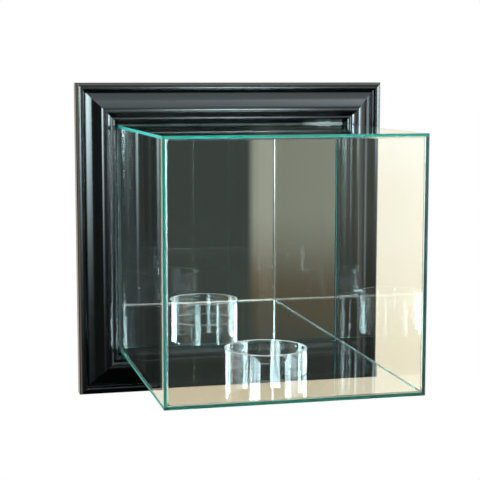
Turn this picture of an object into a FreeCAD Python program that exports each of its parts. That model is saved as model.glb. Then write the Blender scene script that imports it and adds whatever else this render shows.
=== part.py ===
import FreeCAD, Part
import math
import os

# Wall hung display case for one football: a five-sided glass box on a moulded frame.
# Millimetres. The back of the frame lies on y = 0 and the case stands out towards -Y.
# x = 0 and z = 0 are the middle of the frame, +Z is up.

# Glass box
GLASS_T = 3.0
BOX_W = 269.2
BOX_H = 266.0
BOX_FRONT = 304.2
PANE_GAP = 0.1
BEAD_LEG = 2.2
BEAD_SHORT = 3.2

# Frame moulding
RAIL_W = 48.8
SIGHT_GAP = 0.4
FRAME_W = BOX_W + 2 * SIGHT_GAP + 2 * RAIL_W
FRAME_H = BOX_H + 2 * SIGHT_GAP + 2 * RAIL_W
REBATE_START = 41.0
REBATE_DEPTH = 8.5
SIDE_D = 15.9
RIDGE_D = 30.0
LIP_D = 11.8

# Back panel: mirror, tape and board lie behind each other in the rebate
PANEL_GAP = 0.6
MIRROR_FRONT = 8.35
MIRROR_T = 3.0
BOARD_T = 4.0
TAPE_W = 14.0
SCOOP_R = 13.0
SCOOP_D = 6.0

# Turn buttons that hold the panel in
BUTTON_LEN = 36.0
BUTTON_W = 12.0
BUTTON_T = 1.2
BUTTON_Y = 0.15
BUTTON_W_POS = 30.0
BUTTON_Z = (66.0, -66.0)
SHANK_R = 1.75
PIVOT_CLEAR = 0.06
HEAD_R = 3.6
HEAD_T = 1.7

# Strap hangers and their rings
HANGER_W_POS = 19.0
HANGER_Z = 142.0
STRAP_W = 12.0
STRAP_LEN = 40.0
STRAP_T = 1.2
EYE_Y = 2.35
EYE_R = 2.25
EYE_LEN = 10.0
WIRE_R = 1.0
WIRE_CLEAR = 0.06
RING_HALF = 8.0
RING_LEG = 5.0

# Rubber bumpers and V nails
BUMPER_R = 6.0
BUMPER_H = 4.8
BUMPER_POS = 12.0
NAIL_T = 0.7
NAIL_LEG = 6.0
NAIL_POS = (20.0, 33.0)
NAIL_TOP = 0.3
NAIL_DEPTH = 8.0

# Riser ring
RISER_R = 45.0
RISER_WALL = 3.0
RISER_H = 27.0
RISER_X = 1.0
RISER_Y = -172.0

X_AXIS = FreeCAD.Vector(1, 0, 0)
Y_AXIS = FreeCAD.Vector(0, 1, 0)
Z_AXIS = FreeCAD.Vector(0, 0, 1)
ORIGIN = FreeCAD.Vector(0, 0, 0)


def vec(x, y, z):
    return FreeCAD.Vector(x, y, z)


def block(x0, x1, y0, y1, z0, z1):
    """Box between two opposite corners."""
    return Part.makeBox(x1 - x0, y1 - y0, z1 - z0, vec(x0, y0, z0))


def prism(points, along):
    """Straight-sided solid: a closed polygon pushed along a vector."""
    ring = list(points) + [points[0]]
    return Part.Face(Part.makePolygon(ring)).extrude(along)


def bulge(a, b, sag):
    """Middle point of an arc from a to b that stands out by sag to its left."""
    mid = ((a[0] + b[0]) / 2.0, (a[1] + b[1]) / 2.0)
    run = (b[0] - a[0], b[1] - a[1])
    size = math.hypot(run[0], run[1])
    return (mid[0] - run[1] / size * sag, mid[1] + run[0] / size * sag)


# The moulding's cross-section, as (inwards from the outer edge, out from the back).
# A number between two points is the sag of the arc that joins them; 0 is a straight line.
PROFILE = [
    (0.0, 0.0), 0,
    (0.0, SIDE_D), 0.25,
    (1.0, 17.4), 0.15,
    (2.6, 21.2), 0.1,
    (3.3, 21.6), 0.4,
    (7.9, 21.9), 0.12,
    (8.5, 20.8), 0,
    (8.9, 17.3), -0.15,
    (9.5, 16.7), -0.1,
    (17.4, RIDGE_D - 9.7), -0.1,
    (21.0, RIDGE_D - 6.9), 0,
    (27.3, RIDGE_D - 1.4), 0.15,
    (29.5, RIDGE_D - 0.4), 0.16,
    (33.5, RIDGE_D - 0.1), 0.35,
    (38.8, RIDGE_D - 2.3), 0,
    (39.6, 25.8), 0.55,
    (43.6, 25.2), -0.3,
    (RAIL_W, LIP_D), 0,
    (RAIL_W, REBATE_DEPTH), 0,
    (REBATE_START, REBATE_DEPTH), 0,
    (REBATE_START, 0.0), 0,
]


def profile_face(x, outer):
    """The cross-section as a face in the plane x, its outer edge at height outer."""
    points = PROFILE[0::2]
    sags = PROFILE[1::2]
    edges = []
    for i, a in enumerate(points):
        b = points[(i + 1) % len(points)]
        start = vec(x, -a[1], outer - a[0])
        end = vec(x, -b[1], outer - b[0])
        if sags[i]:
            m = bulge(a, b, sags[i])
            middle = vec(x, -m[1], outer - m[0])
            edges.append(Part.Arc(start, middle, end).toShape())
        else:
            edges.append(Part.LineSegment(start, end).toShape())
    return Part.Face(Part.Wire(edges))


def mitred_rail(length, outer):
    """A rail lying along X above the centre, cut at 45 degrees at both ends."""
    bar = profile_face(-length / 2.0 - 2.0, outer).extrude(vec(length + 4.0, 0, 0))
    over = 1.0
    top = length / 2.0 + over
    low = length / 2.0 - RAIL_W - over
    corners = [
        vec(-top, 2.0, outer + over),
        vec(top, 2.0, outer + over),
        vec(low, 2.0, outer - RAIL_W - over),
        vec(-low, 2.0, outer - RAIL_W - over),
    ]
    return bar.common(prism(corners, vec(0, -40.0, 0)))


def v_nail(sx, sz, pos, y_back, y_front):
    """A V nail across the mitre of one corner, its point towards the outer corner."""
    x = sx * (FRAME_W / 2.0 - pos)
    z = sz * (FRAME_H / 2.0 - pos)
    h = NAIL_T / 2.0
    xs = sorted((x + sx * h, x - sx * NAIL_LEG))
    zs = sorted((z + sz * h, z - sz * NAIL_LEG))
    flat = block(xs[0], xs[1], y_front, y_back, z - h, z + h)
    upright = block(x - h, x + h, y_front, y_back, zs[0], zs[1])
    return flat.fuse(upright).removeSplitter()


def screw(x, y_seat, z, length):
    """Pan head screw driven towards -Y, its head's underside at y_seat."""
    shank = Part.makeCylinder(SHANK_R, length - 3.0, vec(x, y_seat, z), vec(0, -1, 0))
    point = Part.makeCone(SHANK_R, 0.3, 3.0, vec(x, y_seat - length + 3.0, z), vec(0, -1, 0))
    head = Part.makeCylinder(HEAD_R, HEAD_T, vec(x, y_seat, z), Y_AXIS)
    rim = [edge for edge in head.Edges if edge.BoundBox.YMin > y_seat + HEAD_T - 0.01]
    head = head.makeFillet(1.0, rim)
    solid = head.fuse(shank).fuse(point).removeSplitter()
    y = y_seat + HEAD_T
    for half_x, half_z in ((1.9, 0.35), (0.35, 1.9)):
        solid = solid.cut(block(x - half_x, x + half_x, y - 1.0, y + 1.0, z - half_z, z + half_z))
    return solid


def pilot(x, z, y_seat, length):
    """The hole that a screw fills in the wood behind it."""
    return Part.makeCylinder(SHANK_R + 0.05, length, vec(x, y_seat, z), vec(0, -1, 0))


def turn_button(x, z):
    """Flat steel button hanging from its pivot: round ends and one hole."""
    r = BUTTON_W / 2.0
    reach = BUTTON_LEN - BUTTON_W
    top = Part.makeCylinder(r, BUTTON_T, vec(x, BUTTON_Y, z), Y_AXIS)
    low = Part.makeCylinder(r, BUTTON_T, vec(x, BUTTON_Y, z - reach), Y_AXIS)
    bar = block(x - r, x + r, BUTTON_Y, BUTTON_Y + BUTTON_T, z - reach, z)
    plate = top.fuse(bar).fuse(low).removeSplitter()
    outer = [edge for edge in plate.Edges if edge.BoundBox.YMin > BUTTON_Y + BUTTON_T - 0.01]
    plate = plate.makeChamfer(0.25, outer)
    hole = Part.makeCylinder(SHANK_R + PIVOT_CLEAR, 4.0, vec(x, BUTTON_Y - 1.0, z), Y_AXIS)
    return plate.cut(hole)


def strap_hanger(x, z):
    """Steel strap with two screw holes and a rolled eye at its top end."""
    strap = block(x - STRAP_W / 2.0, x + STRAP_W / 2.0, 0.0, STRAP_T, z - STRAP_LEN, z)
    low = [
        edge for edge in strap.Edges
        if edge.BoundBox.ZMax < z - STRAP_LEN + 0.01 and edge.BoundBox.YLength > 1.0
    ]
    strap = strap.makeFillet(5.0, low)
    eye = Part.makeCylinder(EYE_R, EYE_LEN, vec(x - EYE_LEN / 2.0, EYE_Y, z), X_AXIS)
    solid = strap.fuse(eye).removeSplitter()
    bore = Part.makeCylinder(WIRE_R + WIRE_CLEAR, EYE_LEN + 4.0,
                             vec(x - EYE_LEN / 2.0 - 2.0, EYE_Y, z), X_AXIS)
    solid = solid.cut(bore)
    for hole_z in hanger_holes(z):
        hole = Part.makeCylinder(SHANK_R + 0.05, 4.0, vec(x, -1.0, hole_z), Y_AXIS)
        solid = solid.cut(hole)
    return solid


def hanger_holes(z):
    """Heights of a hanger's two screws below its eye."""
    return (z - 8.0, z - 30.0)


def hanger_ring(x, z):
    """D-shaped wire ring hanging from the eye: a bar, two legs and a half circle."""
    bar = Part.makeCylinder(WIRE_R, 2.0 * RING_HALF, vec(x - RING_HALF, EYE_Y, z), X_AXIS)
    solid = bar
    for side in (-1.0, 1.0):
        at = vec(x + side * RING_HALF, EYE_Y, z)
        solid = solid.fuse(Part.makeSphere(WIRE_R, at))
        solid = solid.fuse(Part.makeCylinder(WIRE_R, RING_LEG, at, vec(0, 0, -1)))
    bow = Part.makeTorus(RING_HALF, WIRE_R, vec(x, EYE_Y, z - RING_LEG), Y_AXIS)
    keep = block(x - 20.0, x + 20.0, EYE_Y - 5.0, EYE_Y + 5.0, z - RING_LEG - 20.0, z - RING_LEG)
    return solid.fuse(bow.common(keep)).removeSplitter()


def bead(corner, leg_a, leg_b, along):
    """Clear adhesive bead: a hollow-faced fillet in the corner between two panes."""
    a = corner + leg_a
    b = corner + leg_b
    middle = corner + (leg_a + leg_b) * 0.36
    edges = [
        Part.LineSegment(corner, a).toShape(),
        Part.Arc(a, middle, b).toShape(),
        Part.LineSegment(b, corner).toShape(),
    ]
    return Part.Face(Part.Wire(edges)).extrude(along)


os.makedirs("parts", exist_ok=True)
parts = {}

half_w = FRAME_W / 2.0
half_h = FRAME_H / 2.0
box_x = BOX_W / 2.0
box_z = BOX_H / 2.0
in_x = box_x - GLASS_T
in_z = box_z - GLASS_T
in_front = -(BOX_FRONT - GLASS_T)
rear = -REBATE_DEPTH

# Rails: the top one is drawn, and the others are turned round the middle of the frame.
turns = (("top", 0), ("right", 90), ("bottom", 180), ("left", 270))
rails = {}
for name, angle in turns:
    upright = name in ("left", "right")
    length = FRAME_H if upright else FRAME_W
    outer = half_w if upright else half_h
    rail = mitred_rail(length, outer)
    rail.rotate(ORIGIN, Y_AXIS, angle)
    rails[name] = rail

# V nails: two in the back of each mitre, let into slots in both rails
nails = []
for sx in (-1, 1):
    for sz in (-1, 1):
        for pos in NAIL_POS:
            slot = v_nail(sx, sz, pos, 1.0, -(NAIL_TOP + NAIL_DEPTH))
            nails.append(v_nail(sx, sz, pos, -NAIL_TOP, -(NAIL_TOP + NAIL_DEPTH)))
            for name in ("left" if sx < 0 else "right", "bottom" if sz < 0 else "top"):
                rails[name] = rails[name].cut(slot)

# Finger scoop in the bottom rail, to reach the edge of the back panel
scoop_z = -half_h + REBATE_START
scoop = Part.makeCylinder(SCOOP_R, SCOOP_D + 1.0, vec(0, 1.0, scoop_z), vec(0, -1, 0))
rails["bottom"] = rails["bottom"].cut(scoop)

# Turn buttons and hangers are on the two side rails
button_screws = []
hanger_screws = []
for side, name in ((-1, "left"), (1, "right")):
    button_x = side * (half_w - BUTTON_W_POS)
    for tag, z in zip(("upper", "lower"), BUTTON_Z):
        parts["turn_button_%s_%s" % (name, tag)] = turn_button(button_x, z)
        seat = BUTTON_Y + BUTTON_T + 0.15
        button_screws.append(screw(button_x, seat, z, 14.0))
        rails[name] = rails[name].cut(pilot(button_x, z, seat, 15.0))
    hanger_x = side * (half_w - HANGER_W_POS)
    parts["strap_hanger_" + name] = strap_hanger(hanger_x, HANGER_Z)
    parts["hanger_ring_" + name] = hanger_ring(hanger_x, HANGER_Z)
    for z in hanger_holes(HANGER_Z):
        hanger_screws.append(screw(hanger_x, STRAP_T, z, 14.0))
        rails[name] = rails[name].cut(pilot(hanger_x, z, STRAP_T, 15.0))

for name, rail in rails.items():
    parts["rail_" + name] = rail
parts["corner_v_nails"] = Part.makeCompound(nails)
parts["turn_button_screws"] = Part.makeCompound(button_screws)
parts["hanger_screws"] = Part.makeCompound(hanger_screws)

# Wall bumpers under the two bottom corners
bumpers = []
for side in (-1, 1):
    at = vec(side * (half_w - BUMPER_POS), 0, -half_h + BUMPER_POS)
    foot = Part.makeCone(BUMPER_R, BUMPER_R - 1.2, BUMPER_H, at, Y_AXIS)
    rim = [edge for edge in foot.Edges if edge.BoundBox.YMin > BUMPER_H - 0.01]
    bumpers.append(foot.makeFillet(0.8, rim))
parts["wall_bumpers"] = Part.makeCompound(bumpers)

# Glass: the front covers all four edges, top and floor lie over the sides
parts["glass_front"] = block(-box_x, box_x, -BOX_FRONT, in_front, -box_z, box_z)
pane_y = in_front + PANE_GAP
parts["glass_top"] = block(-box_x, box_x, pane_y, rear, in_z, box_z)
parts["glass_floor"] = block(-box_x, box_x, pane_y, rear, -box_z, -in_z)
side_z = in_z - PANE_GAP
parts["glass_left"] = block(-box_x, -in_x, pane_y, rear, -side_z, side_z)
parts["glass_right"] = block(in_x, box_x, pane_y, rear, -side_z, side_z)

# Adhesive beads behind the front pane and along the depth of the box
front_beads = []
depth_beads = []
span_z = 2.0 * (in_z - BEAD_SHORT)
span_x = 2.0 * (in_x - BEAD_SHORT)
for side in (-1, 1):
    leg_x = vec(-side * BEAD_LEG, 0, 0)
    leg_z = vec(0, 0, -side * BEAD_LEG)
    leg_y = vec(0, BEAD_LEG, 0)
    upright = bead(vec(side * in_x, in_front, -span_z / 2.0), leg_x, leg_y, Z_AXIS * span_z)
    across = bead(vec(-span_x / 2.0, in_front, side * in_z), leg_z, leg_y, X_AXIS * span_x)
    front_beads += [upright, across]
    for other in (-1, 1):
        corner = vec(side * in_x, in_front + BEAD_SHORT, other * in_z)
        depth = rear - 0.5 - corner.y
        depth_beads.append(bead(corner, leg_x, vec(0, 0, -other * BEAD_LEG), Y_AXIS * depth))
parts["front_beads"] = Part.makeCompound(front_beads)
parts["depth_beads"] = Part.makeCompound(depth_beads)

# Seal that bonds the box into the sight edge of the frame
seal_x = box_x + SIGHT_GAP
seal_z = box_z + SIGHT_GAP
seal = block(-seal_x, seal_x, -11.0, rear - 0.1, -seal_z, seal_z)
parts["box_seal"] = seal.cut(block(-box_x, box_x, -12.0, 0.0, -box_z, box_z))

# Back panel: mirror in front, two strips of tape each way, board behind, flush with y = 0
panel_x = half_w - REBATE_START - PANEL_GAP
panel_z = half_h - REBATE_START - PANEL_GAP
mirror_back = -(MIRROR_FRONT - MIRROR_T)
parts["mirror"] = block(-panel_x, panel_x, -MIRROR_FRONT, mirror_back, -panel_z, panel_z)
parts["backing_board"] = block(-panel_x, panel_x, -BOARD_T, 0.0, -panel_z, panel_z)
tape = []
tape_x = panel_x - 10.0
tape_z = panel_z - 10.0
for side in (-1, 1):
    xs = sorted((side * tape_x, side * (tape_x - TAPE_W)))
    tape.append(block(xs[0], xs[1], mirror_back, -BOARD_T, -tape_z, tape_z))
    zs = sorted((side * tape_z, side * (tape_z - TAPE_W)))
    inner = tape_x - TAPE_W - 2.0
    tape.append(block(-inner, inner, mirror_back, -BOARD_T, zs[0], zs[1]))
parts["mirror_tape"] = Part.makeCompound(tape)

# Clear riser ring, loose on the glass floor
foot = vec(RISER_X, RISER_Y, -in_z)
outside = Part.makeCylinder(RISER_R, RISER_H, foot, Z_AXIS)
inside = Part.makeCylinder(RISER_R - RISER_WALL, RISER_H + 2.0, foot - Z_AXIS, Z_AXIS)
riser = outside.cut(inside)
parts["riser_ring"] = riser.makeChamfer(0.3, [e for e in riser.Edges if e.BoundBox.ZLength < 0.01])

for node, shape in parts.items():
    shape.exportStep("parts/" + node + ".step")
    box = shape.BoundBox
    print("%-26s solids %2d  x %7.1f..%7.1f  y %7.1f..%6.1f  z %7.1f..%7.1f  ok %s" % (
        node, len(shape.Solids), box.XMin, box.XMax, box.YMin, box.YMax, box.ZMin, box.ZMax,
        shape.isValid()))
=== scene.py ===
# %% [markdown]
# # A wall-hung display case, dressed from its CAD frame
#
# The case is a clear glass box that stands out from a black picture frame. A mirror closes
# its back and a clear ring stands on its floor. The frame file holds every solid at its real
# size, in metres. This script gives each solid its finish, adds the glue and silicone that
# CAD draws too plainly or leaves out, and sets up the camera and the studio.

# %% load the frame
import math

import bpy
import numpy as np
from mathutils import Euler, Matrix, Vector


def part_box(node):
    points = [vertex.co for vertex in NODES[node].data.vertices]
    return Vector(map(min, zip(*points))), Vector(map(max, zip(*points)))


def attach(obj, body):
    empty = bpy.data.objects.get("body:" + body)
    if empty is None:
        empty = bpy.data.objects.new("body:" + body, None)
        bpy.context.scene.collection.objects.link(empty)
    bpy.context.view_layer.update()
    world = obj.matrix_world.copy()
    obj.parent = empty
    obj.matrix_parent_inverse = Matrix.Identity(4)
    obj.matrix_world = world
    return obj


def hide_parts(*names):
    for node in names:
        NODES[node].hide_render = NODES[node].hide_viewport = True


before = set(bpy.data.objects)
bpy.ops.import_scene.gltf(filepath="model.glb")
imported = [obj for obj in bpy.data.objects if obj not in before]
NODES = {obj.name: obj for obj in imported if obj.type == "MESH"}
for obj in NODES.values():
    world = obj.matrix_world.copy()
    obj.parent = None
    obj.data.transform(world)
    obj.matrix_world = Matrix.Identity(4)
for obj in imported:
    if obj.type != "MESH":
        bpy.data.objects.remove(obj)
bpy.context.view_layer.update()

# %% [markdown]
# ## Camera
#
# A camera can be placed by eye, but then every edge ends up some pixels off. This one was
# fitted to the corners of the glass box and of the frame instead. It stands to the left and a
# little above, about 1.6 m away, with a long lens, so that the sides of the box run back
# gently. The lens comes from a focal length in pixels and the width of the picture.

# %% camera
AZIMUTH, ELEVATION = 13.42, 6.98
CAMERA_PLACE = (-0.355, -1.545, 0.188)
PICTURE, FOCAL_PIXELS, SENSOR = 480.0, 1327.0, 36.0
scene = bpy.context.scene
lens = bpy.data.cameras.new("camera")
lens.sensor_width = SENSOR
lens.lens = FOCAL_PIXELS / PICTURE * SENSOR
camera = bpy.data.objects.new("camera", lens)
scene.collection.objects.link(camera)
camera.location = CAMERA_PLACE
camera.rotation_euler = Euler((math.radians(90 - ELEVATION), 0, -math.radians(AZIMUTH)), "XYZ")
scene.camera = camera
scene.view_settings.view_transform = "Standard"
print("lens", round(lens.lens, 2), "mm")

# %% [markdown]
# ## Light paths
#
# Light that enters a pane by its edge bounces between the two faces dozens of times before it
# comes out at another edge. With few bounces allowed the edges turn black, so more are
# allowed. Cycles also cuts very bright indirect light down, to keep stray bright dots away.
# At its usual limit of 10 the soft boxes would look grey in the clear ring, so it is raised.

# %% light paths
ALL_BOUNCES, CLEAR_BOUNCES = 40, 32
BRIGHTEST_INDIRECT = 30.0
scene.cycles.max_bounces = ALL_BOUNCES
scene.cycles.glossy_bounces = CLEAR_BOUNCES
scene.cycles.transmission_bounces = CLEAR_BOUNCES
scene.cycles.sample_clamp_indirect = BRIGHTEST_INDIRECT
print("bounces", ALL_BOUNCES, "in all,", CLEAR_BOUNCES, "clear or glossy")

# %% [markdown]
# ## Helpers for node trees
#
# A node tree can be drawn by hand in Blender's editor. As code it grows long, because each
# node has to be made, set and linked. All finishes and lights here use the same few patterns,
# so `Wiring` has a short method for each one, and `Sheet` adds what a material needs.


# %% node helper
class Wiring:
    """A node tree, with one method for each kind of node used below.

    The Mix node keeps its sockets for numbers, vectors and colours side by side, so those
    for colours are found by their places.
    """

    MIX_FACTOR, MIX_FIRST, MIX_SECOND, MIX_RESULT = 0, 6, 7, 2

    def __init__(self, tree):
        self.tree = tree

    def new(self, kind, **values):
        """A shader node of this kind, with its settings."""
        node = self.tree.nodes.new("ShaderNode" + kind)
        for key, value in values.items():
            setattr(node, key, value)
        return node

    def link(self, source, target):
        self.tree.links.new(source, target)

    def remap(self, value, low, high, to_low, to_high, kind="LINEAR"):
        """value from low..high to to_low..to_high, held at the ends."""
        node = self.new("MapRange", interpolation_type=kind)
        for slot, number in zip(("From Min", "From Max", "To Min", "To Max"),
                                (low, high, to_low, to_high)):
            node.inputs[slot].default_value = number
        self.link(value, node.inputs["Value"])
        return node.outputs["Result"]

    def fade(self, value, start, end, kind="LINEAR"):
        """0 where value is at start and 1 where it is at end."""
        return self.remap(value, start, end, 0, 1, kind)

    def maths(self, operation, a, b=0.0):
        """One sum of two sockets or numbers."""
        node = self.new("Math", operation=operation)
        for socket, value in zip(node.inputs, (a, b)):
            if isinstance(value, bpy.types.NodeSocket):
                self.link(value, socket)
            else:
                socket.default_value = value
        return node.outputs[0]

    def mix(self, factor, a, b):
        """Colour a where factor is 0 and b where it is 1. Each is a colour or a socket."""
        node = self.new("Mix", data_type="RGBA")
        self.link(factor, node.inputs[self.MIX_FACTOR])
        for place, colour in ((self.MIX_FIRST, a), (self.MIX_SECOND, b)):
            if isinstance(colour, bpy.types.NodeSocket):
                self.link(colour, node.inputs[place])
            else:
                node.inputs[place].default_value = (*colour, 1.0)
        return node.outputs[self.MIX_RESULT]


print("node patterns:", [name for name in vars(Wiring) if name[0].islower()])

# %% material helper
MOST_NOISE = (0.3, 0.7)


class Sheet(Wiring):
    """A material on one Principled BSDF. Its patterns stay with the object as it moves."""

    def __init__(self, name):
        self.mat = bpy.data.materials.new(name)
        self.mat.use_nodes = True
        super().__init__(self.mat.node_tree)
        self.out = self.tree.nodes["Material Output"]
        self.bsdf = self.tree.nodes["Principled BSDF"]
        self.coord = self.new("TexCoord").outputs["Object"]

    def set(self, **values):
        """Plain values on the Principled BSDF, named with _ for each space."""
        for key, value in values.items():
            self.bsdf.inputs[key.replace("_", " ")].default_value = value

    def noise(self, scale, detail=3.0, stretch=(1, 1, 1)):
        """Noise between 0 and 1, stretched along the object's own axes."""
        place = self.new("Mapping")
        place.inputs["Scale"].default_value = stretch
        self.link(self.coord, place.inputs["Vector"])
        node = self.new("TexNoise")
        node.inputs["Scale"].default_value = scale
        node.inputs["Detail"].default_value = detail
        self.link(place.outputs["Vector"], node.inputs["Vector"])
        return node.outputs["Fac"]

    def uneven(self, low, high, scale, detail=3.0):
        """A number that drifts between low and high. Most noise lies in MOST_NOISE."""
        return self.remap(self.noise(scale, detail), *MOST_NOISE, low, high)

    def axis(self, letter):
        """The object's own X, Y or Z."""
        node = self.new("SeparateXYZ")
        self.link(self.coord, node.inputs["Vector"])
        return node.outputs[letter]

    def colour(self, socket):
        self.link(socket, self.bsdf.inputs["Base Color"])

    def rough(self, socket):
        self.link(socket, self.bsdf.inputs["Roughness"])

    def clearness(self, socket):
        self.link(socket, self.bsdf.inputs["Transmission Weight"])

    def bump(self, height, distance, strength):
        """Small unevenness of the surface: distance is how high it stands."""
        node = self.new("Bump")
        node.inputs["Distance"].default_value = distance
        node.inputs["Strength"].default_value = strength
        self.link(height, node.inputs["Height"])
        self.link(node.outputs["Normal"], self.bsdf.inputs["Normal"])

    def absorb(self, colour, density):
        """Light taken off inside the solid, by colour."""
        node = self.new("VolumeAbsorption")
        node.inputs["Color"].default_value = (*colour, 1.0)
        node.inputs["Density"].default_value = density
        self.link(node.outputs["Volume"], self.out.inputs["Volume"])


def paint(sheet, slot, *names):
    """Gives a finish to CAD nodes. slot is not used."""
    for name in names:
        ob = NODES[name]
        ob.data.materials.clear()
        ob.data.materials.append(sheet.mat)
    print(sheet.mat.name, "on", ", ".join(names))


print("material patterns:", [name for name in vars(Sheet) if name[0].islower()])

# %% [markdown]
# ## Smooth shading without touching the CAD mesh
#
# A CAD node comes as loose triangles, and each of them shades flat. The mesh could be joined
# and shaded itself, but a CAD mesh stays as it is. A Geometry Nodes modifier joins the
# triangles and smooths the normals across shallow angles instead. An arc of the moulding then
# reflects like a curve, and a corner stays sharp. The panes are all flat and need none of it.

# %% smoothing modifier
SAME_POINT = 2e-6
SHALLOW_DEGREES = 28.0


def smoothing(limit_degrees):
    """Joins double points, then shades smooth wherever faces meet by less than the limit."""
    group = bpy.data.node_groups.new("smooth_%g" % limit_degrees, "GeometryNodeTree")
    for way in ("INPUT", "OUTPUT"):
        group.interface.new_socket("Geometry", in_out=way, socket_type="NodeSocketGeometry")
    new = group.nodes.new
    start, end = new("NodeGroupInput"), new("NodeGroupOutput")
    merge, angle = new("GeometryNodeMergeByDistance"), new("GeometryNodeInputMeshEdgeAngle")
    merge.inputs["Distance"].default_value = SAME_POINT
    small = new("ShaderNodeMath")
    small.operation = "LESS_THAN"
    small.inputs[1].default_value = math.radians(limit_degrees)
    faces, edges = new("GeometryNodeSetShadeSmooth"), new("GeometryNodeSetShadeSmooth")
    edges.domain = "EDGE"
    link = group.links.new
    link(start.outputs[0], merge.inputs["Geometry"])
    link(merge.outputs[0], faces.inputs["Geometry"])
    link(faces.outputs[0], edges.inputs["Geometry"])
    link(angle.outputs["Unsigned Angle"], small.inputs[0])
    link(small.outputs[0], edges.inputs["Shade Smooth"])
    link(edges.outputs[0], end.inputs[0])
    return group


shallow_smooth = smoothing(SHALLOW_DEGREES)
curved = [ob for name, ob in NODES.items() if not name.startswith("glass")]
for ob in curved:
    ob.modifiers.new("smooth", "NODES").node_group = shallow_smooth
print("smoothed", len(curved), "nodes")

# %% [markdown]
# ## The moulding
#
# The rails are wood under satin black lacquer, and bare wood at the back, where no lacquer
# was sprayed. A picture of wood could be wrapped round them. Noise that is stretched along a
# rail draws grain for any length and has no seams, so it is used here. The grain runs along
# each rail, so the rails that lie and those that stand have a material each. The lacquer is
# rough enough to soften what it reflects, because a polished one would show the soft boxes
# with hard edges.

# %% moulding
GRAIN_STRETCH, GRAIN_RANGE = 0.06, (0.35, 0.7)
BARE_WOOD = ((0.42, 0.27, 0.14), (0.62, 0.43, 0.25))
BLACK = ((0.0003, 0.0003, 0.0003), (0.0012, 0.0012, 0.0012))
LACQUER_ENDS, WOOD_STARTS = -0.0006, -0.0002
LACQUER_IOR, LACQUER_ROUGH, WOOD_ROUGHER = 1.5, (0.19, 0.22), 0.4
ORANGE_PEEL = 0.000003


def moulding(name, along):
    """Lacquer, and bare wood behind the place on Y where the lacquer ends."""
    sheet = Sheet(name)
    stretch = (GRAIN_STRETCH, 1, 1) if along == "X" else (1, 1, GRAIN_STRETCH)
    grain = sheet.noise(260.0, 5.0, stretch)
    bare = sheet.mix(sheet.fade(grain, *GRAIN_RANGE), *BARE_WOOD)
    lacquer = sheet.mix(sheet.noise(35.0, 2.0), *BLACK)
    back = sheet.fade(sheet.axis("Y"), LACQUER_ENDS, WOOD_STARTS)
    sheet.colour(sheet.mix(back, lacquer, bare))
    gloss = sheet.uneven(*LACQUER_ROUGH, scale=90.0)
    sheet.rough(sheet.maths("ADD", gloss, sheet.maths("MULTIPLY", back, WOOD_ROUGHER)))
    sheet.set(IOR=LACQUER_IOR)
    sheet.bump(sheet.noise(350.0, 2.0), ORANGE_PEEL, 0.6)
    return sheet


paint(moulding("lacquer_across", "X"), "moulding_black", "rail_top", "rail_bottom")
paint(moulding("lacquer_upright", "Z"), "moulding_black", "rail_left", "rail_right")

# %% [markdown]
# ## Glass
#
# Float glass takes off red first. A pane is 3 mm thick, so straight through it is almost
# clear, but light that runs along it to an edge turns green. A plain green surface would tint
# the whole box, so that green sits in the volume, as it does in real glass. The free edges are
# ground, and so are the ends that are glued behind the front pane: they are speckled and
# hardly clear. Their green is painted light: each edge is painted a lighter or darker green for
# the light that the pane carries to it and that falls on it, so it differs from edge to edge.
# Top and bottom edges of the side panes stay clear.

# %% glass
PANE_TINT, PANE_DENSITY, PANE_IOR = (0.29, 0.90, 0.825), 12.0, 1.52
GRIT_SCALE, GROUND_DULL, GROUND_ROUGH = 1800.0, (0.86, 0.97), 0.6
SKIN = 0.00002


def pane(name, edges):
    """Clear glass with ground edges.

    Each key of edges is (letter, sign, limit): that edge lies where sign times the axis
    passes limit. Its value is the dark and the light colour of its speckle, a green that
    is painted light: lighter or darker for the light that reaches that edge.
    """
    sheet = Sheet(name)
    speckle = sheet.noise(GRIT_SCALE, 2.0)
    colour, ground = (1.0, 1.0, 1.0), 0.0
    # Painted light: each ground edge gets its own lighter or darker green for the light it catches.
    for (letter, sign, limit), grit_and_edge_light in edges.items():
        along = sheet.maths("MULTIPLY", sheet.axis(letter), sign)
        past = sheet.maths("GREATER_THAN", along, limit)
        colour = sheet.mix(past, colour, sheet.mix(speckle, *grit_and_edge_light))
        ground = sheet.maths("MAXIMUM", ground, past)
    sheet.colour(colour)
    dull = sheet.remap(speckle, *MOST_NOISE, *GROUND_DULL)
    sheet.clearness(sheet.maths("SUBTRACT", 1.0, sheet.maths("MULTIPLY", ground, dull)))
    sheet.rough(sheet.maths("MULTIPLY", ground, GROUND_ROUGH))
    sheet.set(IOR=PANE_IOR)
    sheet.absorb(PANE_TINT, PANE_DENSITY)
    return sheet


PRINTED_DEPTH = 0.1
left_over = [round(math.exp(-PANE_DENSITY * (1 - tint) * PRINTED_DEPTH), 2) for tint in PANE_TINT]
print("red, green and blue left after", PRINTED_DEPTH, "m of glass:", left_over)

# %% the five panes
box_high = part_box("glass_front")[1]
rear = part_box("glass_top")[1][1] - SKIN
glued = -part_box("glass_top")[0][1] - SKIN
LEFT_EDGE, RIGHT_EDGE = ("X", -1, box_high[0] - SKIN), ("X", 1, box_high[0] - SKIN)
TOP_EDGE, BOTTOM_EDGE = ("Z", 1, box_high[2] - SKIN), ("Z", -1, box_high[2] - SKIN)
REAR_EDGE, GLUED_EDGE = ("Y", 1, rear), ("Y", -1, glued)
# Painted light: these greens stand for light guided through the glass to an edge, bright where much
# reaches it and dark where little does.
SEA = ((0.0, 0.42, 0.31), (0.01, 0.64, 0.49))
BRIGHT_SEA = ((0.0, 0.92, 0.80), (0.02, 1.0, 0.95))
DEEP_SEA = ((0.0, 0.20, 0.15), (0.01, 0.32, 0.26))
LEAF = ((0.0, 0.30, 0.22), (0.005, 0.46, 0.37))
BOTTLE = ((0.0, 0.10, 0.06), (0.002, 0.18, 0.12))
SLATE = ((0.0, 0.05, 0.055), (0.02, 0.12, 0.13))
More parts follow.
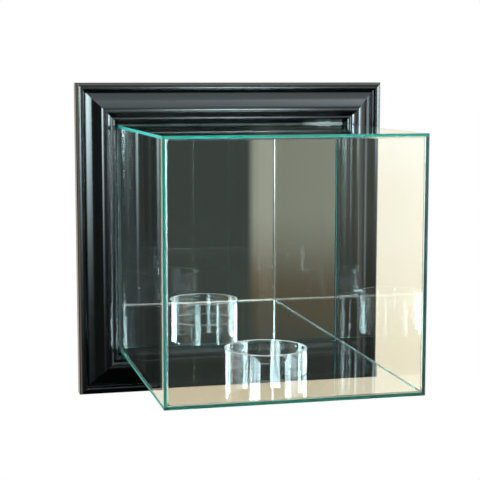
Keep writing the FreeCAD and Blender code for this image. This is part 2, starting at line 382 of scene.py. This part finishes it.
# Painted light: each edge gets the green of the light that reaches it, brighter or darker edge by
# edge.
PANES = {
    "front": {LEFT_EDGE: SEA, RIGHT_EDGE: SLATE, TOP_EDGE: LEAF, BOTTOM_EDGE: BOTTLE},
    "top": {LEFT_EDGE: BRIGHT_SEA, RIGHT_EDGE: SEA, REAR_EDGE: BRIGHT_SEA, GLUED_EDGE: LEAF},
    "floor": {LEFT_EDGE: SEA, RIGHT_EDGE: DEEP_SEA, REAR_EDGE: SEA, GLUED_EDGE: BOTTLE},
    "left": {REAR_EDGE: BRIGHT_SEA, GLUED_EDGE: DEEP_SEA},
    "right": {REAR_EDGE: BRIGHT_SEA, GLUED_EDGE: SLATE},
}
for place, edges in PANES.items():
    paint(pane(place + "_pane", edges), "glass_clear", "glass_" + place)

# %% [markdown]
# ## Clear glue
#
# The panes are joined by a clear glue that sets in the inner corners. Behind the front pane
# it is painted whiter and less clear up the left corner: a painted highlight for the left soft
# box that it reflects there. Along the floor it is darker and yellower. The beads that run to
# the back stay clear and take on the green of the glass. One clear material would miss both,
# so there are two, and the first one fades by place.

# %% clear glue
GLUE_IOR = 1.5
# Painted highlight: the glue is painted whiter and less clear towards the left corner and upwards.
LEFT_CORNER, HIGHLIGHT_UPWARDS, FLOOR_CORNER = (-0.128, -0.130), (-0.06, 0.09), (-0.124, -0.128)
HIGHLIGHT_CLEARNESS = 0.35


def clear(name, ior):
    """Clear, polished stock, from which the finishes below start."""
    sheet = Sheet(name)
    sheet.set(IOR=ior, Transmission_Weight=1.0, Roughness=0.0, Base_Color=(1, 1, 1, 1))
    return sheet


def bead_with_painted_highlight():
    """Cured glue, painted whiter and less clear as a painted highlight, by a fade towards
    the left corner times one upwards. Along the floor it is darker and yellower.
    """
    sheet = clear("bead_with_painted_highlight", GLUE_IOR)
    at_floor = sheet.fade(sheet.axis("Z"), *FLOOR_CORNER)
    cloudy = sheet.mix(sheet.noise(300.0), (0.80, 0.88, 0.86), (0.95, 1.0, 0.98))
    sheet.colour(sheet.mix(at_floor, cloudy, (0.55, 0.52, 0.42)))
    # Painted highlight: whiter, less clear glue towards the left corner and upwards stands for the
    # left soft box reflected in the bead.
    white = sheet.maths("MULTIPLY", sheet.fade(sheet.axis("X"), *LEFT_CORNER),
                        sheet.remap(sheet.axis("Z"), *HIGHLIGHT_UPWARDS, 0.2, 1))
    sheet.clearness(sheet.remap(white, 0, 1, 1.0, HIGHLIGHT_CLEARNESS))
    sheet.rough(sheet.uneven(0.10, 0.22, scale=400.0))
    return sheet


def clear_glue():
    """Greenish and clear, with a surface that is polished in some places and not in others."""
    sheet = clear("clear_glue", GLUE_IOR)
    sheet.colour(sheet.mix(sheet.noise(300.0), (0.55, 0.85, 0.78), (0.70, 0.95, 0.90)))
    sheet.rough(sheet.uneven(0.03, 0.12, scale=400.0))
    return sheet


bead, glue = bead_with_painted_highlight(), clear_glue()
paint(bead, "adhesive_clear", "front_beads", "depth_beads")

# %% [markdown]
# ## The acrylic ring
#
# The ring is a slice of clear acrylic tube: polished inside and out, and sawn at both rims.
# The sawn rims catch the light as two pale circles, which is most of what one sees of it. They
# could be thin white rings of their own. Here one material knows its own foot and rim by
# height, so that the ring stays one piece.

# %% acrylic
ACRYLIC_IOR, SAWN_CLEARNESS, SAWN_ROUGH = 1.49, 0.35, 0.4
foot_z, rim_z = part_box("riser_ring")[0][2] + SKIN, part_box("riser_ring")[1][2] - SKIN


def acrylic_tube():
    """Sawn where the height is below foot_z or above rim_z, polished between."""
    sheet = clear("acrylic", ACRYLIC_IOR)
    sawn = sheet.maths("MAXIMUM", sheet.maths("LESS_THAN", sheet.axis("Z"), foot_z),
                       sheet.maths("GREATER_THAN", sheet.axis("Z"), rim_z))
    cloud = sheet.mix(sheet.noise(1500.0), (0.82, 0.86, 0.86), (0.97, 1.0, 1.0))
    sheet.colour(sheet.mix(sawn, (1.0, 1.0, 1.0), cloud))
    sheet.clearness(sheet.remap(sawn, 0, 1, 1.0, SAWN_CLEARNESS))
    sheet.rough(sheet.maths("MULTIPLY", sawn, SAWN_ROUGH))
    sheet.absorb((0.90, 0.97, 1.0), 3.0)
    return sheet


paint(acrylic_tube(), "acrylic_clear", "riser_ring")

# %% [markdown]
# ## Silicone
#
# The silicone round the box is clear, but lies against black lacquer, so it looks like a wet
# dark line. Only at the top right, where it is thick, it looks white. Fully clear silicone
# needs much light to show at all, so a dark, wet, partly clear surface stands in for it.

# %% silicone
SILICONE_IOR, SILICONE_ROUGH, SILICONE_CLEARNESS = 1.41, 0.25, 0.25
MILKY_X, MILKY_Z = (0.085, 0.10), (0.10, 0.12)


def wet_silicone():
    """White where it is both right of MILKY_X and above MILKY_Z, dark elsewhere."""
    sheet = Sheet("silicone")
    milky = sheet.maths("MULTIPLY", sheet.fade(sheet.axis("X"), *MILKY_X),
                        sheet.fade(sheet.axis("Z"), *MILKY_Z))
    wet = sheet.mix(sheet.noise(300.0), (0.03, 0.05, 0.045), (0.09, 0.13, 0.12))
    sheet.colour(sheet.mix(milky, wet, (0.9, 0.98, 0.95)))
    sheet.set(IOR=SILICONE_IOR, Roughness=SILICONE_ROUGH, Transmission_Weight=SILICONE_CLEARNESS)
    sheet.bump(sheet.noise(700.0), 0.0002, 0.5)
    return sheet


silicone = wet_silicone()
paint(silicone, "seal_clear", "box_seal")

# %% [markdown]
# ## Mirror
#
# The mirror is silvered glass. It could be a clear pane over a metal sheet, which doubles each
# reflection. At this distance the second image can't be told apart, so it is one metal surface,
# a little green, with a hint of unevenness that softens what it shows.

# %% mirror
def silvered():
    """A metal with almost no roughness."""
    sheet = Sheet("mirror")
    sheet.set(Metallic=1.0, IOR=1.5)
    sheet.colour(sheet.mix(sheet.noise(8.0), (0.80, 0.84, 0.82), (0.83, 0.86, 0.84)))
    sheet.rough(sheet.uneven(0.0, 0.012, scale=60.0))
    return sheet


paint(silvered(), "mirror", "mirror")

# %% [markdown]
# ## Board and tape
#
# Behind the mirror lie foam tape and a sheet of bare fibreboard. Pressed fibres are short and
# lie flat, so the board's fleck is noise, stretched a little. The tape's cells are finer.
# Both are matt, and a small bump keeps them from looking like paper.

# %% board and tape
def fibreboard():
    """Brown fleck, with the same noise for its colour and its bump."""
    sheet = Sheet("fibreboard")
    fleck = sheet.noise(1500.0, 4.0, (1, 1, 0.4))
    sheet.colour(sheet.mix(sheet.fade(fleck, *GRAIN_RANGE), (0.30, 0.19, 0.10), (0.44, 0.30, 0.18)))
    sheet.set(Roughness=0.85)
    sheet.bump(fleck, 0.0002, 0.6)
    return sheet


def foam_tape():
    """Off-white foam with fine cells."""
    sheet = Sheet("foam_tape")
    sheet.colour(sheet.mix(sheet.noise(2500.0), (0.7, 0.7, 0.67), (0.85, 0.85, 0.82)))
    sheet.set(Roughness=0.9)
    sheet.bump(sheet.noise(3000.0), 0.0002, 0.5)
    return sheet


paint(fibreboard(), "board_brown", "backing_board")
paint(foam_tape(), "foam_tape", "mirror_tape")

# %% [markdown]
# ## Metal and rubber
#
# Hangers and turn buttons are zinc plated, which is greyer and duller than the bright steel of
# the screws. Both have the same faults, blotches and fine scratches, so one function makes
# both from two colours and a range of roughness. The wall bumpers are matt black rubber.

# %% metal and rubber
def metal(name, dark, light, low_rough, high_rough):
    """A metal: blotches mix dark and light, and the roughness drifts between its ends."""
    sheet = Sheet(name)
    sheet.colour(sheet.mix(sheet.noise(220.0, 4.0), dark, light))
    sheet.rough(sheet.uneven(low_rough, high_rough, scale=900.0))
    sheet.bump(sheet.noise(2500.0, 2.0), 0.00004, 0.4)
    sheet.set(Metallic=1.0)
    return sheet


def rubber():
    """Matt black, a little uneven."""
    sheet = Sheet("rubber")
    sheet.colour(sheet.mix(sheet.noise(800.0), (0.012, 0.012, 0.012), (0.03, 0.03, 0.03)))
    sheet.set(Roughness=0.6)
    sheet.bump(sheet.noise(1500.0), 0.0001, 0.5)
    return sheet


zinc = metal("zinc_plate", (0.50, 0.51, 0.53), (0.66, 0.66, 0.65), 0.25, 0.42)
paint(zinc, "zinc", "strap_hanger_left", "strap_hanger_right", "hanger_ring_left",
      "hanger_ring_right", "turn_button_left_upper", "turn_button_left_lower",
      "turn_button_right_upper", "turn_button_right_lower")
steel = metal("bright_steel", (0.56, 0.56, 0.57), (0.70, 0.70, 0.71), 0.18, 0.32)
paint(steel, "steel", "turn_button_screws", "hanger_screws", "corner_v_nails")
paint(rubber(), "bumper_rubber", "wall_bumpers")

# %% [markdown]
# ## Tubes along a path
#
# The box is glued at its inner corners and bedded in the frame with silicone. A bead is drawn
# in by its own surface, so its face is hollow and its width wanders. A curve with a bevel
# would give every bead the same even width. Here each one is a small section carried along a
# path, round a rectangle or straight from front to back, as whole arrays of points.


# %% paths
def rounded_loop(half_x, half_z, radius, across=90, corner=7):
    """Points round a rectangle with rounded corners, and the outward direction at each.

    A corner's arc is its centre plus radius times (cos a, sin a), a over a quarter turn. A
    side joins the end of one arc to the start of the next with even steps.
    """
    signs = np.array([(1, 1), (-1, 1), (-1, -1), (1, -1)])
    centres = signs * np.array([half_x - radius, half_z - radius])
    angles = np.linspace(0, math.pi / 2, corner) + np.arange(4)[:, None] * math.pi / 2
    out_arc = np.stack([np.cos(angles), np.sin(angles)], axis=-1)
    arcs = centres[:, None] + radius * out_arc
    steps = np.linspace(0, 1, across + 2)[1:-1, None]
    sides = arcs[:, -1:] * (1 - steps) + np.roll(arcs[:, 0], -1, axis=0)[:, None] * steps
    out_side = np.repeat(out_arc[:, -1:], across, axis=1)
    points = np.concatenate([arcs, sides], axis=1).reshape(-1, 2)
    return points, np.concatenate([out_arc, out_side], axis=1).reshape(-1, 2)


def wander(count, seed, turns=(5, 11, 23, 41)):
    """A smooth random line between about -1 and 1 that ends where it starts: a few sines."""
    rng = np.random.default_rng(seed)
    along = np.linspace(0, 2 * math.pi, count, endpoint=False)
    phases = rng.uniform(0, 2 * math.pi, len(turns))
    waves = np.sin(np.outer(turns, along) + phases[:, None])
    return waves.sum(axis=0) / math.sqrt(2 * len(turns))


print("a loop has", len(rounded_loop(1, 1, 0.1)[0]), "points")

# %% tubes
SHARP_DEGREES = 50


def tube_faces(grid, index, looped):
    """Quads of one tube, facing outwards.

    Point (i, j) joins (i+1, j) and (i, j+1). A looped tube joins its last row to its first
    one, and any other is closed with a face at each end. The sign of the enclosed volume, a
    third of the sum of corner times face area, tells which way the quads point.
    """
    here = index if looped else index[:-1]
    after = np.roll(index, -1, axis=0) if looped else index[1:]
    quads = np.stack([here, after, np.roll(after, -1, 1), np.roll(here, -1, 1)], axis=-1)
    quads = quads.reshape(-1, 4)
    corners = grid.reshape(-1, 3)[quads - index[0, 0]]
    area = np.cross(corners[:, 1] - corners[:, 0], corners[:, 2] - corners[:, 0])
    volume = (corners[:, 0] * area).sum() / 3
    step = 1 if volume > 0 else -1
    ends = [] if looped else [index[0][::step].tolist(), index[-1][::-step].tolist()]
    return quads[:, ::step].tolist() + ends


def swept(name, grids, looped, sheet):
    """A piece made of tubes. Each grid is rows along the path by points round the section."""
    vertices, faces, first = [], [], 0
    for grid in grids:
        rows, columns = grid.shape[:2]
        index = first + np.arange(rows * columns).reshape(rows, columns)
        faces += tube_faces(grid, index, looped)
        vertices.append(grid.reshape(-1, 3))
        first += rows * columns
    mesh = bpy.data.meshes.new(name)
    mesh.from_pydata(np.concatenate(vertices).tolist(), [], faces)
    mesh.shade_smooth()
    mesh.set_sharp_from_angle(angle=math.radians(SHARP_DEGREES))
    mesh.materials.append(sheet.mat)
    ob = bpy.data.objects.new(name, mesh)
    scene.collection.objects.link(ob)
    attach(ob, "frame")
    print(name, len(faces), "faces")
    return ob


square = np.array([(0, 0, 0), (0, 0, 1), (1, 0, 1), (1, 0, 0)], float)
block = np.stack([square, square + (0, 1, 0)])
block_index = np.arange(8).reshape(2, 4)
print("a block is a tube of", len(tube_faces(block, block_index, False)), "faces")

# %% [markdown]
# ## Beads of glue
#
# The glue lies in the corners between the panes. The CAD beads are plain bars that stop at
# the corners, so these replace them: a loop behind the front pane, and four bars that run to
# the back. A hair of air stays between glue and glass, because a renderer that meets two
# skins in one place can't tell which it enters first.

# %% section of a bead
HAIR = 0.00005
FRONT_BEAD, DEPTH_BEAD = 0.0017, 0.0012
HOLLOWNESS = 0.62


def hollow(leg, points=7):
    """A hollow line from (0, leg) to (leg, 0), and the corner (0, 0) that closes it.

    It is HOLLOWNESS parts a quarter circle round (leg, leg), and the rest a straight line.
    """
    turn = np.linspace(0, math.pi / 2, points)
    arc = np.stack([1 - np.cos(turn), 1 - np.sin(turn)], axis=-1)
    t = np.linspace(0, 1, points)[:, None]
    line = np.concatenate([t, 1 - t], axis=1)
    face = leg * (arc * HOLLOWNESS + line * (1 - HOLLOWNESS))
    return np.concatenate([face, [[0.0, 0.0]]])


print("sections of", len(hollow(FRONT_BEAD)), "points")

# %% bead behind the front pane
BEAD_WANDER, FRONT_SEED = 0.10, 3
CORNER_RADIUS, RADIUS_GROWTH = 0.0003, 1.1
inner_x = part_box("glass_right")[0][0] - HAIR
inner_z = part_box("glass_top")[0][2] - HAIR
pane_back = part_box("glass_front")[1][1] + HAIR
lines = []
for inward, back in hollow(FRONT_BEAD):
    radius = CORNER_RADIUS + RADIUS_GROWTH * inward
    points, outward = rounded_loop(inner_x - inward, inner_z - inward, radius)
    change = BEAD_WANDER * wander(len(points), FRONT_SEED)[:, None]
    points = points - outward * inward * change
    level = pane_back + back * (1 + change[:, 0])
    lines.append(np.stack([points[:, 0], level, points[:, 1]], axis=-1))
front_glue = swept("front_glue", [np.stack(lines, axis=1)], True, bead)
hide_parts("front_beads")

# %% beads along the depth
BAR_STEPS, FIRST_BAR_SEED = 120, 20
depth_low, depth_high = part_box("depth_beads")
section = hollow(DEPTH_BEAD)
run = np.linspace(depth_low[1], depth_high[1], BAR_STEPS)
bars = []
for number, (sx, sz) in enumerate(((1, 1), (-1, 1), (-1, -1), (1, -1))):
    width = 1 + BEAD_WANDER * wander(len(run), FIRST_BAR_SEED + number)[:, None]
    bars.append(np.stack([sx * (inner_x - section[:, 0] * width),
                          np.repeat(run[:, None], len(section), axis=1),
                          sz * (inner_z - section[:, 1] * width)], axis=-1))
depth_glue = swept("depth_glue", bars, False, glue)
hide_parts("depth_beads")

# %% [markdown]
# ## Fillet of silicone
#
# A fillet of silicone was run round the box after it was pressed home. It fills the wedge
# between the glass and the steep inner face of the frame, and has lumps along the top at the
# right. A modelled ring of even width would look like a gasket, so its width swells and
# shrinks along the path, and each lump is a bell curve added to that.

# %% sealing fillet
FILLET_RISE, FILLET_RUN, FILLET_CORNER = 0.0015, 0.0034, 0.0004
SWELL, SWELL_SEED, SWELL_TURNS = 0.22, 8, (7, 17, 31, 53)
LIP_DEPTH, LIP_GAP, FILLET_ROOT = 0.0118, 0.0004, 0.0114
INNER_FACE_SLOPE = 5.2 / 13.4
SAG, SAG_DEPTH, TOP_SHARE = 0.28, 0.0008, 0.9
LUMPS = ((0.118, 0.004, 0.75), (0.108, 0.003, 0.45), (-0.02, 0.006, 0.25))
outer_x, outer_z = box_high[0] + HAIR, box_high[2] + HAIR
around, outward = rounded_loop(outer_x, outer_z, FILLET_CORNER, across=200)
on_top = around[:, 1] > TOP_SHARE * outer_z
swell = 1 + SWELL * wander(len(around), SWELL_SEED, SWELL_TURNS)
for at, width, size in LUMPS:
    swell = swell + size * np.exp(-((around[:, 0] - at) / width) ** 2) * on_top


def fillet_grid(steps=7):
    """Rows round the box by points of the fillet's section.

    The section's face runs from the glass, LIP_DEPTH plus the run deep, to the frame's inner
    face, where the depth is LIP_DEPTH plus the rise over the slope. It sags by a sine. Two
    hidden points at FILLET_ROOT close it.
    """
    rise, reach = FILLET_RISE * swell, FILLET_RUN * swell
    t = np.linspace(0, 1, steps)[:, None]
    sag = SAG * np.sin(math.pi * t)
    root = np.full((1, len(swell)), FILLET_ROOT)
    out = np.concatenate([(LIP_GAP + rise - HAIR) * t * (1 - sag),
                          [LIP_GAP + 0 * rise], [0 * rise]])
    slope_depth = LIP_DEPTH + rise / INNER_FACE_SLOPE
    deep = (LIP_DEPTH + reach) * (1 - t) + slope_depth * t - sag * SAG_DEPTH
    deep = np.concatenate([deep, root, root])
    grid = np.stack([around[:, 0] + outward[:, 0] * out, -deep,
                     around[:, 1] + outward[:, 1] * out], axis=-1)
    return grid.transpose(1, 0, 2)


swept("sight_silicone", [fillet_grid()], True, silicone)

# %% [markdown]
# ## The room
#
# Glass, mirror and lacquer show what stands round them, so the room matters more than any
# lamp. It could be modelled, or be a photograph wrapped round the scene. Here it is a sky
# painted with soft-edged patches by azimuth and elevation, which takes no lamps and no files.
# Azimuth is 0 in front of the case and grows to its right. Elevation grows upwards.

# %% directions
world = bpy.data.worlds.new("room")
scene.world = world
world.use_nodes = True
world.node_tree.nodes.clear()
sky = Wiring(world.node_tree)
direction = sky.new("SeparateXYZ")
sky.link(sky.new("TexCoord").outputs["Generated"], direction.inputs["Vector"])
east, north, up = direction.outputs
azimuth = sky.maths("DEGREES", sky.maths("ARCTAN2", east, sky.maths("MULTIPLY", north, -1.0)))
elevation = sky.maths("DEGREES", sky.maths("ARCSINE", up))


def laid(under, colour, *ramps):
    """colour laid over under, by the product of the ramps.

    A ramp is (value, start, end): it goes smoothly from 0 to 1 as value goes from start to
    end, and start may be the larger one.
    """
    cover = 1.0
    for ramp in ramps:
        cover = sky.maths("MULTIPLY", sky.fade(*ramp, kind="SMOOTHSTEP"), cover)
    return sky.mix(cover, under, colour)


print("sky started with", len(world.node_tree.nodes), "nodes")

# %% what is reflected
FRONT, CEILING, LEFT = (0.054, 0.062, 0.056), (1.52, 1.85, 1.90), (0.08, 0.09, 0.09)
BAND, CARPET, CREAM = (2.2, 2.3, 2.4), (0.010, 0.010, 0.010), (1.0, 0.92, 0.80)
RIGHT_NEAR, RIGHT_FAR = (5.0, 6.0, 6.4), (1.7, 1.9, 1.95)
BEIGE, BROWN = (0.37, 0.36, 0.29), (0.13, 0.10, 0.06)

right_wall = laid(RIGHT_NEAR, RIGHT_FAR, (azimuth, 72, 92))
low_patch = laid(BROWN, BEIGE, (elevation, -9.6, -5.5))
room = laid(FRONT, CEILING, (elevation, 22, 42))
room = laid(room, BAND, (azimuth, -38, -30), (azimuth, 40, 32),
            (elevation, -1.5, 3), (elevation, 8.0, 5.5))
room = laid(room, LEFT, (azimuth, -58, -72), (elevation, 50, 30))
room = laid(room, right_wall, (azimuth, 56, 64), (elevation, -16, -4))
room = laid(room, low_patch, (azimuth, 13.7, 14.1), (azimuth, 32, 26),
            (elevation, -13, -9.6), (elevation, 0, -2))
room = laid(room, CARPET, (elevation, -15, -26))
room = laid(room, CREAM, (north, 0.0, 0.08))
print("the room has", len(world.node_tree.nodes), "nodes")

# %% [markdown]
# ## White round the case, wall behind the glass
#
# The camera sees plain white round the case, and through the glass a pale wall that is warmer
# low down. A wall of real board would also light the case and throw its colour on it. Light
# Path tells the rays apart instead, by how often they were reflected or scattered before they
# leave. The sky is then left out of light sampling, where its brightness would be looked up
# without knowing a ray's past.

# %% what is seen
WARM, LOW, PALE = (1.14, 0.93, 0.62), (1.34, 1.18, 0.88), (1.46, 1.34, 1.10)
BRIGHT, WHITE = (1.62, 1.52, 1.36), (1.0, 1.0, 1.0)
DIM = (0.55, 0.55, 0.55)
BOUNCED = 0.5

wall = laid(WARM, LOW, (azimuth, 180 - 15.5, 180 - 19.5))
wall = laid(wall, PALE, (elevation, -12.5, -6))
wall = laid(wall, BRIGHT, (elevation, -6, -1))
plain = laid(DIM, WHITE, (up, -0.9, 0.9))
path = sky.new("LightPath").outputs
seen = sky.mix(path["Is Camera Ray"], wall, WHITE)
seen = sky.mix(sky.maths("GREATER_THAN", path["Glossy Depth"], BOUNCED), seen, room)
seen = sky.mix(sky.maths("GREATER_THAN", path["Diffuse Depth"], BOUNCED), seen, plain)
backdrop = sky.new("Background")
sky.link(seen, backdrop.inputs["Color"])
sky.link(backdrop.outputs[0], sky.new("OutputWorld").inputs["Surface"])
world.cycles.sampling_method = "NONE"
print("the whole sky has", len(world.node_tree.nodes), "nodes")

# %% [markdown]
# ## Soft boxes
#
# Pale lines run along the moulding and bright strips stand in the ring: reflections of three
# soft boxes. Area lamps would do it, but they have hard edges and one brightness. Each box
# here is a glowing patch of a sphere round the case, given by the azimuth and elevation of its
# corners. It turns from glow to clear towards its rim, so that its reflection fades out. The
# camera and scattered light don't see the boxes: they only draw reflections.

# %% soft box shape
CARD_STEPS, RIM = 32, 0.05
CASE_MIDDLE_Y = -0.17


def sphere_patch(corners, distance, u, v):
    """Points at distance from the middle of the case: the blend of four corners by u and v.

    A corner at azimuth a and elevation e lies in the direction (sin a cos e, -cos a cos e,
    sin e).
    """
    a, e = np.radians(np.array(corners, float)).T
    spots = distance * np.stack([np.sin(a) * np.cos(e), -np.cos(a) * np.cos(e), np.sin(e)], -1)
    spots[:, 1] += CASE_MIDDLE_Y
    weights = np.stack([(1 - u) * (1 - v), u * (1 - v), u * v, (1 - u) * v], axis=-1)
    return (weights @ spots).reshape(-1, 3)


def card_glow(u, v, foot, power):
    """How far each point glows, 0 to 1.

    It is the smooth step of the distance from the rim over RIM, times v over foot to the
    given power.
    """
    edge = np.clip(np.minimum(np.minimum(u, 1 - u), 1 - v) / RIM, 0, 1)
    return (edge * edge * (3 - 2 * edge) * np.clip(v / foot, 0, 1) ** power).reshape(-1)


print("a soft box has", CARD_STEPS ** 2, "points")

# %% soft box light
CARD_COLOUR = (0.72, 0.95, 1.0, 1.0)


def card_light(name, strength, outside):
    """Emission where the card's glow is 1, clear where it is 0.

    With outside, a ray that has gone through glass sees none of it.
    """
    mat = bpy.data.materials.new(name)
    mat.use_nodes = True
    mat.node_tree.nodes.clear()
    wiring = Wiring(mat.node_tree)
    fade = wiring.new("Attribute", attribute_name="glow").outputs["Fac"]
    if outside:
        glass_passed = wiring.new("LightPath").outputs["Transmission Depth"]
        fade = wiring.maths("MULTIPLY", fade, wiring.maths("LESS_THAN", glass_passed, BOUNCED))
    glowing, faded = wiring.new("Emission"), wiring.new("MixShader")
    glowing.inputs["Color"].default_value = CARD_COLOUR
    glowing.inputs["Strength"].default_value = strength
    wiring.link(fade, faded.inputs[0])
    wiring.link(wiring.new("BsdfTransparent").outputs[0], faded.inputs[1])
    wiring.link(glowing.outputs[0], faded.inputs[2])
    wiring.link(faded.outputs[0], wiring.new("OutputMaterial").inputs["Surface"])
    return mat


print("soft boxes glow in", CARD_COLOUR[:3])


# %% the three soft boxes
def card(name, corners, distance, strength, foot=RIM, power=1.0, outside=False):
    """A glowing card. corners: (azimuth, elevation) of its four corners, in a ring."""
    u, v = np.meshgrid(np.linspace(0, 1, CARD_STEPS), np.linspace(0, 1, CARD_STEPS))
    index = np.arange(CARD_STEPS ** 2).reshape(CARD_STEPS, CARD_STEPS)
    quads = np.stack([index[:-1, :-1], index[:-1, 1:], index[1:, 1:], index[1:, :-1]], axis=-1)
    mesh = bpy.data.meshes.new(name)
    mesh.from_pydata(sphere_patch(corners, distance, u, v).tolist(), [],
                     quads.reshape(-1, 4).tolist())
    glow = card_glow(u, v, foot, power)
    mesh.attributes.new("glow", "FLOAT", "POINT").data.foreach_set("value", glow)
    mesh.materials.append(card_light(name, strength, outside))
    ob = bpy.data.objects.new(name, mesh)
    scene.collection.objects.link(ob)
    ob.visible_camera = False
    ob.visible_diffuse = False
    ob.visible_shadow = False
    print(name, "at", distance, "m")


card("softbox_left", ((-60, -14), (-28, -14), (-28, 24), (-60, 24)), 1.3, 30.0,
     foot=0.55, power=2.5)
card("softbox_right", ((41, 2), (60, 2), (60, 24), (41, 24)), 1.3, 30.0)
card("strip_light", ((11, 11), (17.6, 11), (17.6, 22), (11, 22)), 2.0, 42.0, outside=True)

# %% [markdown]
# ## Floor
#
# The case hangs on a wall, so the floor lies well below it. It could be a large white plane,
# but that would show an edge or light the case from below. This one is a disc that is white to
# the camera, keeps a faint shadow in its middle, and fades into the white round it. To a ray
# that has been reflected or scattered it is dark, as the carpet of the room is.

# %% floor material
PAPER, FADE_FROM, FADE_TO, PAPER_SHARE = (0.9, 0.9, 0.9, 1.0), 0.5, 2.0, 0.45
DARK_FLOOR = (0.012, 0.012, 0.012)
floor_mat = bpy.data.materials.new("floor")
floor_mat.use_nodes = True
floor_mat.node_tree.nodes.clear()
floor_mat.cycles.emission_sampling = "NONE"
ground = Wiring(floor_mat.node_tree)
spot = ground.new("SeparateXYZ")
ground.link(ground.new("TexCoord").outputs["Object"], spot.inputs["Vector"])
squares = [ground.maths("MULTIPLY", spot.outputs[axis], spot.outputs[axis]) for axis in "XY"]
away = ground.maths("SQRT", ground.maths("ADD", *squares))
paper = ground.remap(away, FADE_FROM, FADE_TO, PAPER_SHARE, 0.0, "SMOOTHSTEP")
past = ground.new("LightPath").outputs
turned = ground.maths("ADD", past["Glossy Depth"], past["Diffuse Depth"])
bounced = ground.maths("GREATER_THAN", turned, BOUNCED)
white, matte, surface = (ground.new(kind) for kind in ("Emission", "BsdfDiffuse", "MixShader"))
ground.link(ground.mix(bounced, WHITE, DARK_FLOOR), white.inputs["Color"])
matte.inputs["Color"].default_value = PAPER
straight = ground.maths("SUBTRACT", 1.0, bounced)
ground.link(ground.maths("MULTIPLY", paper, straight), surface.inputs[0])
ground.link(white.outputs[0], surface.inputs[1])
ground.link(matte.outputs[0], surface.inputs[2])
ground.link(surface.outputs[0], ground.new("OutputMaterial").inputs["Surface"])
print("floor material has", len(floor_mat.node_tree.nodes), "nodes")

# %% floor disc
FLOOR_Z, FLOOR_R, FLOOR_Y, FLOOR_SIDES = -1.0, 2.2, -0.15, 96
turns = np.linspace(0, 2 * math.pi, FLOOR_SIDES, endpoint=False)
rim = np.stack([FLOOR_R * np.cos(turns), FLOOR_R * np.sin(turns) + FLOOR_Y,
                np.full(FLOOR_SIDES, FLOOR_Z)], axis=-1)
floor_mesh = bpy.data.meshes.new("floor")
floor_mesh.from_pydata(rim.tolist(), [], [list(range(FLOOR_SIDES))])
floor_mesh.materials.append(floor_mat)
floor = bpy.data.objects.new("floor", floor_mesh)
scene.collection.objects.link(floor)
print("floor at", FLOOR_Z, "m")

# %% [markdown]
